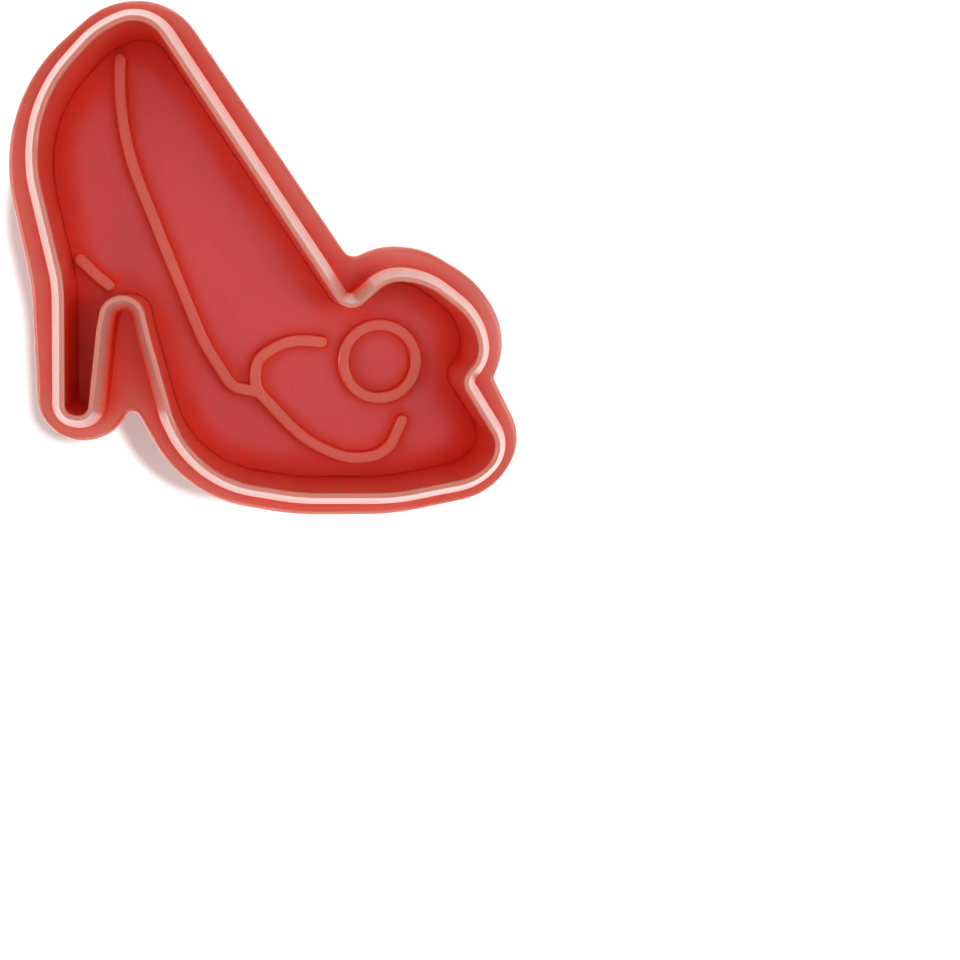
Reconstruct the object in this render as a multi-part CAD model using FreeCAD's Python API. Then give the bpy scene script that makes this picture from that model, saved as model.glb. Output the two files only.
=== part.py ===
"""Spring plunger cutter with a shoe outline, for rolled dough and sugar paste.

Six pieces, one file each, in millimetres.  The cutter stands on the rim of its push knob at Z 0 with the
cutting edge up, and the plunger is at rest.  Everything is drawn around the plunger axis, and the last
lines move it so that the origin is under the middle of the flange.
"""
import math
import os

import FreeCAD
import Part

os.makedirs("parts", exist_ok=True)
V = FreeCAD.Vector
UP = V(0, 0, 1)

# Inner face of the blade, counter-clockwise: corners as (x, y, radius).  The shape it cuts is 70 mm tall.
OUTLINE = [
    (-12.75, 40.5, 4.5),    # ankle, front
    (-19.25, 37.75, 13.5),  # ankle, back
    (-29.0, 26.75, 20.5),
    (-28.25, 16.5, 17.25),
    (-25.0, 1.5, 22.0),     # counter, above the heel
    (-25.25, -17.75, 1.5),  # heel tip, back
    (-22.0, -18.25, 1.5),   # heel tip, front
    (-20.5, -5.25, 8.0),
    (-19.5, -0.25, 3.25),   # top of the notch under the arch
    (-14.0, -0.25, 3.25),
    (-12.75, -6.0, 9.0),
    (-9.5, -18.25, 10.0),   # arch
    (-5.5, -27.5, 15.75),
    (9.75, -30.25, 30.0),   # sole
    (24.25, -30.5, 30.0),
    (36.75, -28.25, 7.75),  # toe
    (40.75, -24.0, 4.0),
    (34.0, -13.25, 2.75),   # nick between toe and bow
    (37.25, -9.5, 4.0),     # bow
    (36.0, -4.0, 9.0),
    (28.5, 1.75, 10.5),
    (23.0, 2.0, 5.0),
    (16.75, -3.5, 2.75),    # throat, below the instep
]

# Outer edge of the flange, in the same form.  It is wider behind the ankle and narrower over the top.
FLANGE = [
    (-9.25, 44.5, 10.0),
    (-19.5, 43.5, 12.0),
    (-35.0, 29.25, 26.0),
    (-33.75, 15.0, 21.0),
    (-31.0, 1.25, 26.0),
    (-30.25, -24.25, 7.0),  # heel
    (-19.0, -22.25, 6.75),
    (-16.0, -17.25, 1.25),  # between heel and sole
    (-12.0, -24.75, 12.75),
    (-6.25, -32.25, 20.5),
    (9.0, -35.25, 42.0),    # sole
    (24.75, -35.5, 45.0),
    (41.75, -32.25, 11.25),  # toe
    (46.0, -23.25, 8.25),
    (41.0, -13.5, 1.25),
    (43.75, -7.25, 11.5),   # bow
    (38.25, 2.0, 17.0),
    (29.25, 7.25, 14.0),
    (22.25, 7.5, 11.0),
    (17.75, 5.25, 2.0),     # throat
]

# Raised lines on the stamp: the middle of each line, as corners like the outline's.  Ends have no radius.
STRAP_LINE = [
    (-17.75, 36.0, 0), (-18.25, 25.25, 43.5), (-5.25, -8.0, 25.0), (-0.75, -15.25, 3.0), (2.75, -16.0, 0)]
VAMP_LINE = [
    (13.75, -8.0, 0), (8.5, -7.5, 9.0), (3.25, -10.75, 3.5), (2.75, -15.25, 4.0), (11.25, -24.5, 20.5),
    (18.25, -27.25, 8.25), (24.5, -26.75, 5.25), (27.0, -21.0, 0)]
HEEL_LINE = [(-24.25, 5.0, 0), (-22.25, 3.0, 40.0), (-20.0, 1.0, 0)]
BOW_CENTRE = (23.25, -11.25)
BOW_RADIUS = 6.0

# Raised lines: section.
rib_width = 2.0
rib_height = 1.5
rib_edge_radius = 0.4

# Blade and flange.
edge_land = 0.75
edge_radius = 0.3
bevel_width = 1.4
bevel_height = 2.5
blade_height = 7.0
flange_thickness = 2.6
flange_edge_radius = 0.8
flange_root_radius = 0.5

# Body behind the flange, and the guide for the stem.
plate_recess = 14.0
plate_thickness = 2.2
plate_gap = 0.05
deck_thickness = 2.0
deck_edge_radius = 1.5
collar_diameter = 12.0
collar_height = 5.0
stem_diameter = 8.0
guide_clearance = 0.05

# Push knob.
knob_diameter = 28.0
knob_height = 12.0
knob_wall = 2.0
knob_floor = 3.5
knob_rim_radius = 1.5
knob_top_radius = 0.8
dish_diameter = 21.0
dish_depth = 1.6
flute_count = 24
flute_radius = 0.8
flute_depth = 0.5
flute_start = 2.0
pocket_wall = 1.4
pocket_drop = 1.5
spring_clearance = 0.7
press_gap = 0.5
landing_gap = 0.3

# Spring.
wire_diameter = 1.0
collar_clearance = 0.5
closed_pitch = 1.6
active_turns = 5
seat_gap = 0.1

# Screw and plug that hold the knob on the stem.
head_diameter = 5.4
head_height = 1.8
head_round = 1.0
shank_diameter = 2.5
screw_length = 12.0
screw_point = 1.5
tip_diameter = 1.0
web_thickness = 1.8
socket_depth = 0.6
plug_thickness = 1.2
plug_chamfer = 0.3
plug_gap = 0.1
recess_width = 0.7
recess_length = 3.2
recess_depth = 1.0
hole_gap = 0.3
fit_gap = 0.05

# Drawing allowances: how far a cutting shape overruns the face it opens, the least radius when moved, and
# how far two heights or points may differ and still count as one.
overrun = 1.0
least_radius = 0.2
nearness = 1e-4

# What follows from the sizes above: stroke, wall, heights, and the spring's diameter at its wire's middle.
stroke = plate_recess - rib_height
wall_thickness = edge_land + bevel_width
deck_back = knob_height + stroke + press_gap
deck_front = deck_back + deck_thickness
plate_front = deck_front + plate_thickness
edge_height = plate_front + plate_recess
flange_front = edge_height - blade_height
flange_back = flange_front - flange_thickness
collar_end = deck_back - collar_height
pillar_top = collar_end - stroke - landing_gap
stem_end = pillar_top - socket_depth
head_seat = stem_end - web_thickness
spring_diameter = collar_diameter + 2 * collar_clearance + wire_diameter


def shifted(corners, distance):
    """Corners of the outline moved outward, with rounding that stays concentric."""
    moved = []
    for i, (x, y, radius) in enumerate(corners):
        before = corners[i - 1]
        after = corners[(i + 1) % len(corners)]
        a = V(x - before[0], y - before[1], 0).normalize()
        b = V(after[0] - x, after[1] - y, 0).normalize()
        normal = V(a.y + b.y, -a.x - b.x, 0)
        point = V(x, y, 0) + normal * (distance / (1 + a.dot(b)))
        turn = 1 if a.cross(b).z > 0 else -1
        moved.append((point.x, point.y, max(radius + turn * distance, least_radius)))
    return moved


def rounded_wire(corners, height, closed=True):
    """Wire of lines and arcs through rounded corners at one height."""
    spots = [V(x, y, height) for x, y, radius in corners]
    arcs = []
    for i, (point, corner) in enumerate(zip(spots, corners)):
        if not closed and i in (0, len(spots) - 1):
            arcs.append((point, point, point))
            continue
        before = (spots[i - 1] - point).normalize()
        after = (spots[(i + 1) % len(spots)] - point).normalize()
        half = before.getAngle(after) / 2
        radius = corner[2]
        reach = radius / math.tan(half)
        middle = point + (before + after).normalize() * (radius / math.sin(half) - radius)
        arcs.append((point + before * reach, middle, point + after * reach))
    edges = []
    for i, (start, middle, end) in enumerate(arcs):
        if start != end:
            edges.append(Part.Arc(start, middle, end).toShape())
        if closed or i < len(arcs) - 1:
            edges.append(Part.makeLine(end, arcs[(i + 1) % len(arcs)][0]))
    return Part.Wire(edges)


def slab(corners, low, high):
    """Straight-sided solid over the outline between two heights."""
    return Part.Face(rounded_wire(corners, low)).extrude(UP * (high - low))


def lies_at(shape, height):
    """Is an edge or a face flat, at one height?"""
    box = shape.BoundBox
    return abs(box.ZMin - height) < nearness and abs(box.ZMax - height) < nearness


def edges_at(shape, height):
    """Edges of a solid that lie flat at one height."""
    return [edge for edge in shape.Edges if lies_at(edge, height)]


def inner_edges(shape, height):
    """Edges around the hole of the ring-shaped face at one height."""
    flat = next(face for face in shape.Faces if lies_at(face, height))
    hole = next(wire for wire in flat.Wires if not wire.isSame(flat.OuterWire))
    return hole.Edges


def rod(radius, low, high):
    """Round bar on the plunger axis."""
    return Part.makeCylinder(radius, high - low, V(0, 0, low))


def turned(steps):
    """Solid turned about Z.  Each step is (r, z), or (r, z, via_r, via_z) for an arc from the last step."""
    edges = []
    last = V(steps[0][0], 0, steps[0][1])
    for step in steps[1:] + steps[:1]:
        point = V(step[0], 0, step[1])
        if len(step) == 4:
            edges.append(Part.Arc(last, V(step[2], 0, step[3]), point).toShape())
        elif (point - last).Length > nearness:
            edges.append(Part.makeLine(last, point))
        last = point
    return Part.Face(Part.Wire(edges)).revolve(V(0, 0, 0), UP, 360)


def raised(face):
    """Raised line over its face: straight sides and a flat top with rounded edges."""
    top = plate_front + rib_height
    line = face.extrude(UP * (top - face.BoundBox.ZMin))
    return line.makeFillet(rib_edge_radius, edges_at(line, top))


def rib(corners):
    """Raised line along a path of lines and arcs, with round ends."""
    path = rounded_wire(corners, plate_front - plate_thickness / 2, closed=False)
    return raised(path.makeOffset2D(rib_width / 2, fill=True))


def round_rib(centre, radius):
    """Raised line around a circle."""
    middle = V(*centre, plate_front - plate_thickness / 2)
    sides = (radius + rib_width / 2, radius - rib_width / 2)
    disc, hole = (Part.Face(Part.Wire(Part.makeCircle(side, middle))) for side in sides)
    return raised(disc.cut(hole).Faces[0])


def cutter_shell():
    """Blade, flange, body and stem guide in one moulding.  The blade is bevelled outside, rounded inside."""
    bevel_start = edge_height - bevel_height
    outside = shifted(OUTLINE, wall_thickness)
    body = slab(outside, deck_back, bevel_start)
    body = body.makeFillet(deck_edge_radius, edges_at(body, deck_back))
    edge = shifted(OUTLINE, edge_land)
    bevel = Part.makeLoft(
        [rounded_wire(outside, bevel_start), rounded_wire(edge, edge_height)], True, True)
    flange = slab(FLANGE, flange_back, flange_front)
    rims = edges_at(flange, flange_back) + edges_at(flange, flange_front)
    flange = flange.makeFillet(flange_edge_radius, rims)
    collar = rod(collar_diameter / 2, collar_end, deck_front)
    whole = body.multiFuse([bevel, flange, collar]).removeSplitter()
    roots = inner_edges(whole, flange_back) + inner_edges(whole, flange_front)
    whole = whole.makeFillet(flange_root_radius, roots)
    hollow = slab(OUTLINE, deck_front, edge_height + overrun)
    guide = rod(stem_diameter / 2 + guide_clearance, collar_end - overrun, edge_height)
    whole = whole.cut([hollow, guide]).removeSplitter()
    return whole.makeFillet(edge_radius, inner_edges(whole, edge_height))


def stamp_plate():
    """Plate with its raised lines, and the stem behind it with a pilot hole for the screw."""
    plate = slab(shifted(OUTLINE, -plate_gap), deck_front, plate_front)
    stem = rod(stem_diameter / 2, stem_end, deck_front)
    pilot = rod(shank_diameter / 2 + fit_gap, stem_end, head_seat + screw_length + overrun)
    lines = [rib(STRAP_LINE), rib(VAMP_LINE), rib(HEEL_LINE), round_rib(BOW_CENTRE, BOW_RADIUS)]
    return plate.multiFuse(lines + [stem]).cut(pilot).removeSplitter()


def push_knob():
    """Round cap with a thumb dish, a fluted skirt, a pocket for the spring and a seat for the stem."""
    outer = knob_diameter / 2
    inner = outer - knob_wall
    rim = dish_diameter / 2
    sphere = (rim ** 2 + dish_depth ** 2) / (2 * dish_depth)
    bore = head_diameter / 2 + hole_gap
    hole = shank_diameter / 2 + hole_gap
    socket = stem_diameter / 2 + fit_gap
    pillar = collar_diameter / 2
    pocket = spring_diameter / 2 + wire_diameter / 2 + spring_clearance
    ring = pocket + pocket_wall
    ring_top = knob_height - pocket_drop
    bend = 1 - math.sqrt(0.5)
    middle = (rim + bore) / 2
    dish = [dish_depth - sphere + math.sqrt(sphere ** 2 - r ** 2) for r in (bore, middle)]
    cap = turned([
        (bore, dish[0]), (bore, head_seat), (hole, head_seat), (hole, stem_end), (socket, stem_end),
        (socket, pillar_top), (pillar, pillar_top), (pillar, knob_floor), (pocket, knob_floor),
        (pocket, ring_top), (ring, ring_top), (ring, knob_floor), (inner, knob_floor), (inner, knob_height),
        (outer - knob_top_radius, knob_height),
        (outer, knob_height - knob_top_radius,
         outer - knob_top_radius * bend, knob_height - knob_top_radius * bend),
        (outer, knob_rim_radius),
        (outer - knob_rim_radius, 0, outer - knob_rim_radius * bend, knob_rim_radius * bend), (rim, 0),
        (bore, dish[0], middle, dish[1])])
    groove = V(outer - flute_depth + flute_radius, 0, flute_start)
    flute = Part.makeCylinder(flute_radius, knob_height, groove)
    flutes = []
    for i in range(flute_count):
        flutes.append(flute.rotated(V(0, 0, 0), UP, 360 * i / flute_count))
    return cap.cut(flutes)


def spring_point(turn):
    """Point on the middle of the spring's wire after some turns: close-wound ends, open between."""
    total = active_turns + 2
    low = knob_floor + seat_gap + wire_diameter / 2
    high = deck_back - seat_gap - wire_diameter / 2
    open_pitch = (high - low - 2 * closed_pitch) / active_turns
    rise = closed_pitch * min(turn, 1) + open_pitch * min(max(turn - 1, 0), active_turns)
    rise += closed_pitch * max(turn - total + 1, 0)
    angle = 2 * math.pi * turn
    radius = spring_diameter / 2
    return V(radius * math.cos(angle), radius * math.sin(angle), low + rise)


def tangent_arc(start, corner, end):
    """Arc between two points whose tangents meet at a corner."""
    leg = (start - corner).Length
    middle = (start + end) / 2
    half = (start - corner).getAngle(end - corner) / 2
    via = corner + (middle - corner).normalize() * (leg / math.cos(half) - leg * math.tan(half))
    return Part.Arc(start, via, end).toShape()


def return_spring():
    """Compression spring: one wire swept along two tangent arcs in each quarter turn."""
    step = 0.25
    count = round((active_turns + 2) / step)
    knots = [spring_point(i * step) for i in range(count + 1)]
    slopes = []
    for i in range(count + 1):
        ahead = spring_point(min(i * step + 0.02, active_turns + 2))
        behind = spring_point(max(i * step - 0.02, 0))
        slopes.append((ahead - behind).normalize())
    edges = []
    for p, q, s, t in zip(knots, knots[1:], slopes, slopes[1:]):
        gap = q - p
        bend = 2 * (1 - s.dot(t))
        pull = gap.dot(s + t)
        leg = (math.sqrt(pull ** 2 + bend * gap.dot(gap)) - pull) / bend
        near = p + s * leg
        far = q - t * leg
        joint = (near + far) / 2
        edges.append(tangent_arc(p, near, joint))
        edges.append(tangent_arc(joint, far, q))
    circle = Part.Wire([Part.makeCircle(wire_diameter / 2, knots[0], slopes[0])])
    sweep = Part.BRepOffsetAPI.MakePipeShell(Part.Wire(edges))
    sweep.add(circle)
    sweep.build()
    sweep.makeSolid()
    samples = 40
    dots = [spring_point(i / samples) for i in range((active_turns + 2) * samples + 1)]
    apart = samples // 2
    least = min((a - b).Length for i, a in enumerate(dots) for b in dots[i + apart:])
    print("spring: least gap to itself %.2f mm" % (least - wire_diameter))
    return sweep.shape()


def knob_screw():
    """Pan-head screw with a cross recess and a blunt cone end."""
    shank = shank_diameter / 2
    low = head_seat - head_height
    taper = head_seat + screw_length - screw_point
    head = rod(head_diameter / 2, low, head_seat)
    head = head.makeFillet(head_round, edges_at(head, low))
    point = Part.makeCone(shank, tip_diameter / 2, screw_point, V(0, 0, taper))
    body = head.multiFuse([rod(shank, head_seat, taper), point]).removeSplitter()
    corner = V(-recess_length / 2, -recess_width / 2, low)
    bar = Part.makeBox(recess_length, recess_width, recess_depth, corner)
    return body.cut([bar, bar.rotated(V(0, 0, 0), UP, 90)])


def knob_plug():
    """Small cap that closes the screw hole in the thumb dish."""
    radius = head_diameter / 2 + hole_gap - fit_gap
    high = head_seat - head_height - plug_gap
    low = high - plug_thickness
    rim = radius - plug_chamfer
    return turned([(0, low), (rim, low), (radius, low + plug_chamfer), (radius, high), (0, high)])


pieces = {
    "cutter_shell": cutter_shell(),
    "stamp_plate": stamp_plate(),
    "push_knob": push_knob(),
    "return_spring": return_spring(),
    "knob_screw": knob_screw(),
    "knob_plug": knob_plug(),
}
extent = pieces["cutter_shell"].optimalBoundingBox(False, False)
shift = V(-extent.Center.x, -extent.Center.y, 0)
for name, shape in pieces.items():
    shape.translate(shift)
    shape.exportStep("parts/%s.step" % name)
    print(name, "solids", len(shape.Solids), "valid", shape.isValid(), "volume %.0f mm3" % shape.Volume)
print("stroke %.2f mm, cutting edge at Z %.2f mm, plunger axis at X %.3f Y %.3f mm" % (
    stroke, edge_height, shift.x, shift.y))
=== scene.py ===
"""Looks of a sprung plunger cutter that lies on its push knob, seen from above its cutting edge."""
import math

import bpy
import numpy as np
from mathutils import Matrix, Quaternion, Vector


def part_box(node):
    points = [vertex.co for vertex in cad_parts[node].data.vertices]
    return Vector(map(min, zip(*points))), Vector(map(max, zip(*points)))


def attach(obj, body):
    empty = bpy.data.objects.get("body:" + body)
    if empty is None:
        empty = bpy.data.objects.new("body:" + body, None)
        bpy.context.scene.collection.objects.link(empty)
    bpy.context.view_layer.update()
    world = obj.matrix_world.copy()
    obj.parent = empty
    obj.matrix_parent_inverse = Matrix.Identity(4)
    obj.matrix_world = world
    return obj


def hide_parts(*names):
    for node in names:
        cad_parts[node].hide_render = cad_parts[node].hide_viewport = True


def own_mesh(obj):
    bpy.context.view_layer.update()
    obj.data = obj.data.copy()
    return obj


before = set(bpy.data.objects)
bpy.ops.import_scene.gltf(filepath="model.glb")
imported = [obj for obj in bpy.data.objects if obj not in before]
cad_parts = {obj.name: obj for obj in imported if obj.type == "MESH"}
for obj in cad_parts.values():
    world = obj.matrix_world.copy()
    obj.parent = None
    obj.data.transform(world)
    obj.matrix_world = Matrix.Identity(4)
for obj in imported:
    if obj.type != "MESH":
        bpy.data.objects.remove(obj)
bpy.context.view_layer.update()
scene = bpy.context.scene
MM = 0.001

# The plunger axis runs through the middle of the round knob.
# The shell is highest at its cutting edge, and the plate at the tops of its raised lines.
knob_low, knob_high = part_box("push_knob")
plunger_x = (knob_low.x + knob_high.x) / 2
plunger_y = (knob_low.y + knob_high.y) / 2
cutting_edge_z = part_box("cutter_shell")[1].z
line_tops_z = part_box("stamp_plate")[1].z

# Camera.  Upright walls in the photograph converge at one pixel: the spot right under the camera.
PHOTO_SIZE = 960
UNDER_CAMERA_PX = (238, 268)
SENSOR_WIDTH = 36.0
LENS = 42.0
LENS_SHIFT = 0.12
CAMERA_ABOVE_EDGE = 168 * MM
CAMERA_FROM_PLUNGER = (0.3 * MM, 3.85 * MM)
NEAREST_SEEN = 1 * MM
FARTHEST_SEEN = 100.0

# Return spring, as in the CAD model: its diameter at the middle of the wire, and the pitch of its end turns.
SPRING_WIRE = 1.0 * MM
SPRING_DIAMETER = 14.0 * MM
SPRING_TURNS = 7
SPRING_END_PITCH = 1.6 * MM
STEPS_PER_TURN = 72
STEPS_AROUND_WIRE = 20

# Softboxes stand on a dome around the cutting edge.
# Each row has a name, degrees from straight up, degrees from the right, a width and a power.
LAMP_DISTANCE = 0.7
SOFTBOXES = [
    ("softbox_right", 52, 0, 0.35, 0.92),
    ("softbox_back", 52, 90, 0.35, 0.66),
    ("softbox_left", 52, 180, 0.35, 1.15),
    ("softbox_front", 52, 270, 0.35, 0.85),
    ("softbox_key", 28, 0, 0.2, 0.46),
]
CEILING_CARD_DIAMETER = 0.5
CEILING_CARD_POWER = 0.6

# The table, and the lamp that lights nothing else.
TABLE_HALF_WIDTH = 30.0
TABLE_WHITES = ("#F4F4F3", "#F7F7F6")
TABLE_FIBRE_SPACING = 2.0 * MM
TABLE_LAMP_AIM = (-0.225, -0.175, -1)
TABLE_LAMP_POWER = 3.5
TABLE_LAMP_SPREAD = math.radians(5)

# The room is bright at the horizon and dark from this height of the view direction upwards.
ROOM_WHITE = "#FFFFFF"
ROOM_AT_HORIZON = 0.8
ROOM_OVERHEAD = 0.02
ROOM_FADE_HEIGHT = 0.6

# Painted sheen and painted shade on the plastic.  Openness is 1 where nothing stands around a spot, and less
# in a corner.  The corners give how far off a wall still counts, and the openness at which the painted sheen
# starts.
# Clouds shift that start up and down.
SHELL_CORNERS = (10 * MM, 0.5)
PLATE_CORNERS = (6 * MM, 0.69)
FULL_SHEEN_OPENNESS = 0.92
WALL_SHEEN_SHARE = 0.45
OPENNESS_SAMPLES = 8
CLOUD_SPACING = 14 * MM
CLOUD_SPAN = (0.25, 0.75)
CLOUD_SHIFT = 0.11

# Painted reflection and painted sheen on raised faces, with the heights at which they start and are full.
# A slope is 0 on an upright wall and 1 on a level face.
# Walls don't get them, and what lies between wall and level has a colour of its own.
BLADE_SHEEN_HEIGHTS = (cutting_edge_z - 2.4 * MM, cutting_edge_z - 0.2 * MM)
LINES_SHEEN_HEIGHTS = (line_tops_z - 1.1 * MM, line_tops_z - 0.1 * MM)
SHEEN_FROM_SLOPE = (0.1, 0.4)
LEVEL_FROM_SLOPE = (0.55, 0.9)

# Gloss of the plastic.  Open and raised faces, where the sheen is painted, reflect more; rubs vary the
# others.
SHINE = (0.3, 0.5)
RUB_SPACING = 3.5 * MM
RUB_SPAN = (0.3, 0.75)
RUB_CHANGE = (0.94, 1.08)
GRAIN_STRENGTH = 0.6

# Light travels this deep into the plastic: all the way in red, and little in green and blue.
GLOW_DEPTH = 0.35 * MM
GLOW_SHARES = (1.0, 0.08, 0.05)

# Saturated red kept where painted shade falls: in corners, partly on walls, and on the slopes of the raised
# lines.
DEEP_RED = "#F03A1C"
# Each finish has a painted sheen for open faces, and colours for slopes and level tops of raised faces: the
# pale bevel of the blade is a painted reflection, pale tops a painted sheen.
GLOSSY_MOULDING = {
    "painted_sheen": "#F3816B", "raised_sheen_tints": ("#CFA096", "#F08F76"), "corners": SHELL_CORNERS,
    "raised_sheen_heights": BLADE_SHEEN_HEIGHTS, "gloss": (0.3, 0.3), "lacquered": True,
    "grain": (1.6 * MM, 0.006 * MM)}
SATIN_MOULDING = {
    "painted_sheen": "#F35356", "raised_sheen_tints": (DEEP_RED, "#F26C54"), "corners": PLATE_CORNERS,
    "raised_sheen_heights": LINES_SHEEN_HEIGHTS, "gloss": (0.36, 0.16), "lacquered": False,
    "grain": (0.3 * MM, 0.012 * MM)}

# Marks on the steel vary its roughness.
MARK_SPAN = (0.3, 0.7)
MARK_CHANGE = (0.75, 1.3)

# Sockets of a Mix node that share a name go by number: the share, two numbers and two colours.
SHARE = 0
NUMBER_A, NUMBER_B, NUMBER_OUT = 2, 3, 0
COLOUR_A, COLOUR_B, COLOUR_OUT = 6, 7, 2


def linear(code):
    """sRGB hex code as linear red, green and blue, with a full alpha."""
    channels = [int(code[i:i + 2], 16) / 255 for i in (1, 3, 5)]
    return [c / 12.92 if c <= 0.04045 else ((c + 0.055) / 1.055) ** 2.4 for c in channels] + [1.0]


def per(spacing):
    """Scale of a pattern whose features are this far apart."""
    return 1 / spacing


def put(tree, kind, inputs, **settings):
    """Add one shader node.  Inputs are values or other nodes' outputs, by socket name or number."""
    made = tree.nodes.new("ShaderNode" + kind)
    for name, value in settings.items():
        setattr(made, name, value)
    for name, value in inputs.items():
        if isinstance(value, bpy.types.NodeSocket):
            tree.links.new(value, made.inputs[name])
        else:
            made.inputs[name].default_value = value
    return made


def new_material(name):
    """Empty material, its node tree and the object's own coordinates."""
    material = bpy.data.materials.new(name)
    material.use_nodes = True
    tree = material.node_tree
    tree.nodes.clear()
    place = put(tree, "TexCoord", {}).outputs["Object"]
    return material, tree, place


def moulded_plastic(name, painted_sheen, raised_sheen_tints, corners, raised_sheen_heights, gloss, lacquered, grain):
    """Red polystyrene, injection moulded.

    The colour holds painted light: a saturated red that stands for painted shade in corners and, in part, on
    walls, and a paler, pinker painted sheen on open faces, most of all on those that look up, broken up in
    faint clouds.
    The blade's bevel gets a pale painted reflection, and the level tops of the blade and of the raised lines
    a painted sheen.  A soft gloss and the grain of the mould face come on top.
    The grain is drawn coarser than a real one, so that it shows.

    The pair of raised colours is for slopes and for level faces, gloss holds the roughness of plain and of
    raised faces, and grain its spacing and its depth.
    """
    material, tree, place = new_material(name)
    reach, sheen_start = corners
    height = put(tree, "SeparateXYZ", {"Vector": place}).outputs["Z"]
    normal = put(tree, "NewGeometry", {}).outputs["Normal"]
    slope = put(tree, "SeparateXYZ", {"Vector": normal}).outputs["Z"]

    # Painted sheen on open faces, most of all on those that look up; corners keep the deep red as painted
    # shade.
    clouds = put(tree, "TexNoise", {
        "Vector": place, "Scale": per(CLOUD_SPACING), "Detail": 3.0, "Roughness": 0.55}).outputs["Fac"]
    clouded_sheen_start = put(tree, "MapRange", {
        "Value": clouds, "From Min": CLOUD_SPAN[0], "From Max": CLOUD_SPAN[1],
        "To Min": sheen_start - CLOUD_SHIFT, "To Max": sheen_start + CLOUD_SHIFT}).outputs["Result"]
    openness = put(tree, "AmbientOcclusion", {"Distance": reach}, samples=OPENNESS_SAMPLES).outputs["AO"]
    open_sheen_share = put(tree, "MapRange", {
        "Value": openness, "From Min": clouded_sheen_start, "From Max": FULL_SHEEN_OPENNESS}).outputs["Result"]
    upward = put(tree, "MapRange", {"Value": slope, "To Min": WALL_SHEEN_SHARE}).outputs["Result"]
    painted_sheen_share = put(tree, "Math", {0: open_sheen_share, 1: upward}, operation="MULTIPLY").outputs[0]
    shade_to_sheen_tint = put(tree, "Mix", {
        SHARE: painted_sheen_share, COLOUR_A: linear(DEEP_RED), COLOUR_B: linear(painted_sheen)},
        data_type="RGBA").outputs[COLOUR_OUT]

    # Painted reflection and painted sheen on what stands high and isn't upright.
    raised = put(tree, "MapRange", {
        "Value": height, "From Min": raised_sheen_heights[0], "From Max": raised_sheen_heights[1]}).outputs["Result"]
    sloped = put(tree, "MapRange", {
        "Value": slope, "From Min": SHEEN_FROM_SLOPE[0],
        "From Max": SHEEN_FROM_SLOPE[1]}).outputs["Result"]
    raised_sheen = put(tree, "Math", {0: raised, 1: sloped}, operation="MULTIPLY").outputs[0]
    level = put(tree, "MapRange", {
        "Value": slope, "From Min": LEVEL_FROM_SLOPE[0], "From Max": LEVEL_FROM_SLOPE[1]}).outputs["Result"]
    raised_sheen_tint = put(tree, "Mix", {
        SHARE: level, COLOUR_A: linear(raised_sheen_tints[0]), COLOUR_B: linear(raised_sheen_tints[1])},
        data_type="RGBA").outputs[COLOUR_OUT]
    tint = put(tree, "Mix", {
        SHARE: raised_sheen, COLOUR_A: shade_to_sheen_tint, COLOUR_B: raised_sheen_tint}, data_type="RGBA").outputs[COLOUR_OUT]

    # Open faces and raised ones get a polish.
    polish = put(tree, "Math", {0: painted_sheen_share, 1: raised_sheen}, operation="MAXIMUM").outputs[0]
    shine = put(tree, "MapRange", {
        "Value": polish, "To Min": SHINE[0], "To Max": SHINE[1]}).outputs["Result"]
    rubs = put(tree, "TexNoise", {
        "Vector": place, "Scale": per(RUB_SPACING), "Detail": 5.0, "Roughness": 0.6}).outputs["Fac"]
    satin = put(tree, "MapRange", {
        "Value": rubs, "From Min": RUB_SPAN[0], "From Max": RUB_SPAN[1],
        "To Min": gloss[0] * RUB_CHANGE[0], "To Max": gloss[0] * RUB_CHANGE[1]}).outputs["Result"]
    roughness = put(tree, "Mix", {
        SHARE: raised_sheen, NUMBER_A: satin, NUMBER_B: gloss[1]}).outputs[NUMBER_OUT]
    skin = put(tree, "TexNoise", {
        "Vector": place, "Scale": per(grain[0]), "Detail": 2.0, "Roughness": 0.5}).outputs["Fac"]
    bump = put(tree, "Bump", {
        "Height": skin, "Strength": GRAIN_STRENGTH, "Distance": grain[1]}).outputs["Normal"]

    surface = put(tree, "BsdfPrincipled", {
        "Base Color": tint, "Roughness": roughness, "Normal": bump, "IOR": 1.57,
        "Subsurface Weight": 1.0, "Subsurface Scale": GLOW_DEPTH, "Subsurface Radius": GLOW_SHARES,
        "Specular IOR Level": shine, "Coat Weight": polish if lacquered else 0.0,
        "Coat Roughness": 0.2, "Coat IOR": 1.5})
    put(tree, "OutputMaterial", {"Surface": surface.outputs["BSDF"]})
    return material


def bright_steel(name, colour, roughness, mark_spacing):
    """Drawn spring wire or a zinc-plated screw: a bright grey metal with fine marks left by its tools.

    The marks are drawn coarser than real ones, so that they show.
    """
    material, tree, place = new_material(name)
    marks = put(tree, "TexNoise", {
        "Vector": place, "Scale": per(mark_spacing), "Detail": 4.0, "Roughness": 0.65}).outputs["Fac"]
    gloss = put(tree, "MapRange", {
        "Value": marks, "From Min": MARK_SPAN[0], "From Max": MARK_SPAN[1],
        "To Min": roughness * MARK_CHANGE[0], "To Max": roughness * MARK_CHANGE[1]}).outputs["Result"]
    surface = put(tree, "BsdfPrincipled", {
        "Base Color": linear(colour), "Metallic": 1.0, "Roughness": gloss})
    put(tree, "OutputMaterial", {"Surface": surface.outputs["BSDF"]})
    return material


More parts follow.
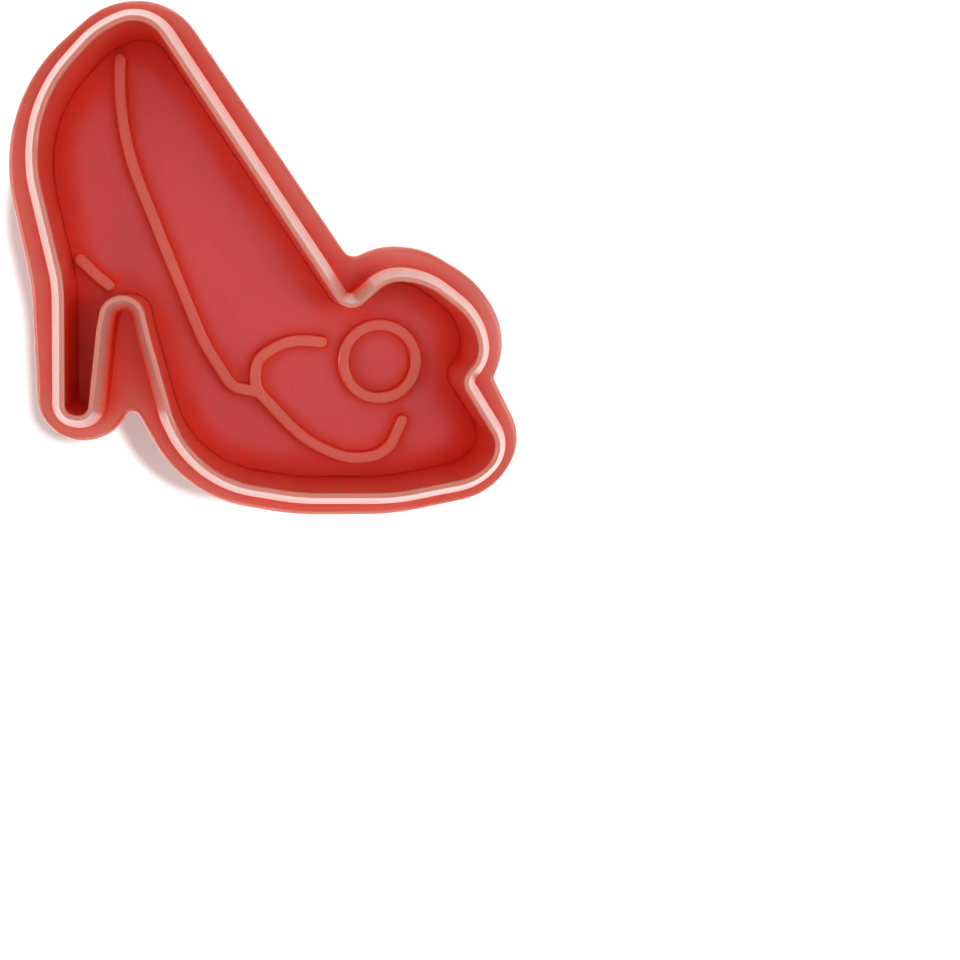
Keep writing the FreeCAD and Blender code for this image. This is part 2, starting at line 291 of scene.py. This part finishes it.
def white_laminate(name):
    """Table top of melamine laminate: an even white with a trace of the paper's fibre and little gloss."""
    material, tree, place = new_material(name)
    fibre = put(tree, "TexNoise", {
        "Vector": place, "Scale": per(TABLE_FIBRE_SPACING), "Detail": 3.0}).outputs["Fac"]
    tone = put(tree, "Mix", {
        SHARE: fibre, COLOUR_A: linear(TABLE_WHITES[0]), COLOUR_B: linear(TABLE_WHITES[1])},
        data_type="RGBA").outputs[COLOUR_OUT]
    surface = put(tree, "BsdfPrincipled", {"Base Color": tone, "Roughness": 0.6})
    put(tree, "OutputMaterial", {"Surface": surface.outputs["BSDF"]})
    return material


def dress(node, material):
    """Give a CAD node its material."""
    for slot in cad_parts[node].material_slots:
        slot.material = material


def grid_mesh(name, points):
    """Mesh over a grid of points: rows run along a path, columns close around it, ends get a flat cap."""
    rows, columns = points.shape[:2]
    index = np.arange(rows * columns).reshape(rows, columns)
    ring = np.roll(index, -1, axis=1)
    quads = np.stack((index[:-1], ring[:-1], ring[1:], index[1:]), axis=-1).reshape(-1, 4)
    caps = [index[0, ::-1].tolist(), index[-1].tolist()]
    mesh = bpy.data.meshes.new(name)
    mesh.from_pydata(points.reshape(-1, 3).tolist(), [], quads.tolist() + caps)
    mesh.shade_smooth()
    piece = bpy.data.objects.new(name, mesh)
    scene.collection.objects.link(piece)
    return piece


def spring_coil(material):
    """Compression spring: a circle of the wire's radius carried along a helix.

    The helix rises by the end pitch in its first and last turn and by an even, larger pitch between.
    Across the wire, one direction of the circle points away from the axis, and the other is square to it
    and to the path.
    """
    low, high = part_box("return_spring")
    wire = SPRING_WIRE / 2
    bottom = low.z + wire
    top = high.z - wire
    turn = np.linspace(0, SPRING_TURNS, SPRING_TURNS * STEPS_PER_TURN + 1)
    knots = [0, 1, SPRING_TURNS - 1, SPRING_TURNS]
    heights = [bottom, bottom + SPRING_END_PITCH, top - SPRING_END_PITCH, top]
    z = np.interp(turn, knots, heights)
    angle = 2 * np.pi * turn
    out = np.stack((np.cos(angle), np.sin(angle), np.zeros_like(angle)), axis=-1)
    axis = np.stack((np.full_like(z, plunger_x), np.full_like(z, plunger_y), z), axis=-1)
    path = out * SPRING_DIAMETER / 2 + axis
    along = np.gradient(path, axis=0)
    along /= np.linalg.norm(along, axis=1, keepdims=True)
    across = np.cross(along, out)
    around = np.linspace(0, 2 * np.pi, STEPS_AROUND_WIRE, endpoint=False)[None, :, None]
    points = path[:, None] + wire * (np.cos(around) * out[:, None] + np.sin(around) * across[:, None])
    piece = grid_mesh("spring_coil", points)
    piece.data.materials.append(material)
    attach(piece, "cutter")
    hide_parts("return_spring")
    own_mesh(piece)


def add_camera():
    """Camera above the cutting edge, tipped from straight down towards the middle of the photograph."""
    data = bpy.data.cameras.new("camera")
    data.sensor_width = SENSOR_WIDTH
    data.lens = LENS
    data.shift_x = LENS_SHIFT
    data.shift_y = -LENS_SHIFT
    data.clip_start = NEAREST_SEEN
    data.clip_end = FARTHEST_SEEN
    axis_px = PHOTO_SIZE * (0.5 - LENS_SHIFT)
    right = axis_px - UNDER_CAMERA_PX[0]
    down = axis_px - UNDER_CAMERA_PX[1]
    tilt = math.atan(math.hypot(right, down) / (PHOTO_SIZE * LENS / SENSOR_WIDTH))
    camera = bpy.data.objects.new("camera", data)
    camera.rotation_euler = Quaternion(Vector((-down, -right, 0)).normalized(), tilt).to_euler()
    camera.location = (plunger_x + CAMERA_FROM_PLUNGER[0], plunger_y + CAMERA_FROM_PLUNGER[1],
                       cutting_edge_z + CAMERA_ABOVE_EDGE)
    scene.collection.objects.link(camera)
    scene.camera = camera


def add_table():
    """Plain white table under the knob: one square."""
    size = TABLE_HALF_WIDTH
    mesh = bpy.data.meshes.new("table")
    corners = [(-size, -size, 0), (size, -size, 0), (size, size, 0), (-size, size, 0)]
    mesh.from_pydata(corners, [], [(0, 1, 2, 3)])
    table = bpy.data.objects.new("table", mesh)
    scene.collection.objects.link(table)
    table.data.materials.append(white_laminate("table_white_laminate"))
    return table


def area_light(name, shape, width, power, place):
    """Soft lamp that faces the middle of the cutting edge."""
    data = bpy.data.lights.new(name, "AREA")
    data.shape = shape
    data.size = width
    data.energy = power
    lamp = bpy.data.objects.new(name, data)
    lamp.location = place
    towards = Vector((0, 0, cutting_edge_z)) - Vector(place)
    lamp.rotation_euler = towards.to_track_quat("-Z", "Y").to_euler()
    scene.collection.objects.link(lamp)


def add_softboxes():
    """Softboxes around the object and a round card straight above it."""
    for name, tip_degrees, turn_degrees, width, power in SOFTBOXES:
        tip = math.radians(tip_degrees)
        turn = math.radians(turn_degrees)
        out = LAMP_DISTANCE * math.sin(tip)
        height = cutting_edge_z + LAMP_DISTANCE * math.cos(tip)
        area_light(name, "SQUARE", width, power, (out * math.cos(turn), out * math.sin(turn), height))
    above = (0, 0, cutting_edge_z + LAMP_DISTANCE)
    area_light("ceiling_card", "DISK", CEILING_CARD_DIAMETER, CEILING_CARD_POWER, above)


def add_table_lamp(table):
    """Steep lamp for the table alone: it whitens the table and casts the object's shadow on it."""
    data = bpy.data.lights.new("table_lamp", "SUN")
    data.energy = TABLE_LAMP_POWER
    data.angle = TABLE_LAMP_SPREAD
    lamp = bpy.data.objects.new("table_lamp", data)
    lamp.rotation_euler = Vector(TABLE_LAMP_AIM).to_track_quat("-Z", "Y").to_euler()
    scene.collection.objects.link(lamp)
    lit = bpy.data.collections.new("lit_by_table_lamp")
    lit.objects.link(table)
    lamp.light_linking.receiver_collection = lit


def add_room():
    """White room that is bright along the horizon and dark overhead."""
    world = bpy.data.worlds.new("studio")
    world.use_nodes = True
    tree = world.node_tree
    sky = tree.nodes["Background"].inputs
    sky["Color"].default_value = linear(ROOM_WHITE)
    direction = put(tree, "TexCoord", {}).outputs["Generated"]
    height = put(tree, "SeparateXYZ", {"Vector": direction}).outputs["Z"]
    fade = put(tree, "MapRange", {
        "Value": height, "From Min": 0.0, "From Max": ROOM_FADE_HEIGHT,
        "To Min": ROOM_AT_HORIZON, "To Max": ROOM_OVERHEAD}).outputs["Result"]
    tree.links.new(fade, sky["Strength"])
    scene.world = world


# The knob and its plug lie too low for the blade's painted reflection and sheen, and share the rest of the
# shell's finish.
shell_plastic = moulded_plastic("shell_polystyrene_moulded", **GLOSSY_MOULDING)
plate_plastic = moulded_plastic("plate_polystyrene_satin", **SATIN_MOULDING)
knob_plastic = moulded_plastic("knob_polystyrene_moulded", **GLOSSY_MOULDING)
spring_steel = bright_steel("spring_stainless_wire_drawn", "#C9C9C6", roughness=0.24, mark_spacing=0.25 * MM)
screw_steel = bright_steel("screw_steel_zinc_plated", "#C4C6C8", roughness=0.3, mark_spacing=0.4 * MM)

dress("cutter_shell", shell_plastic)
dress("stamp_plate", plate_plastic)
dress("push_knob", knob_plastic)
dress("knob_plug", knob_plastic)
dress("knob_screw", screw_steel)
spring_coil(spring_steel)
add_camera()
table = add_table()
add_softboxes()
add_table_lamp(table)
add_room()
scene.view_settings.view_transform = "Standard"
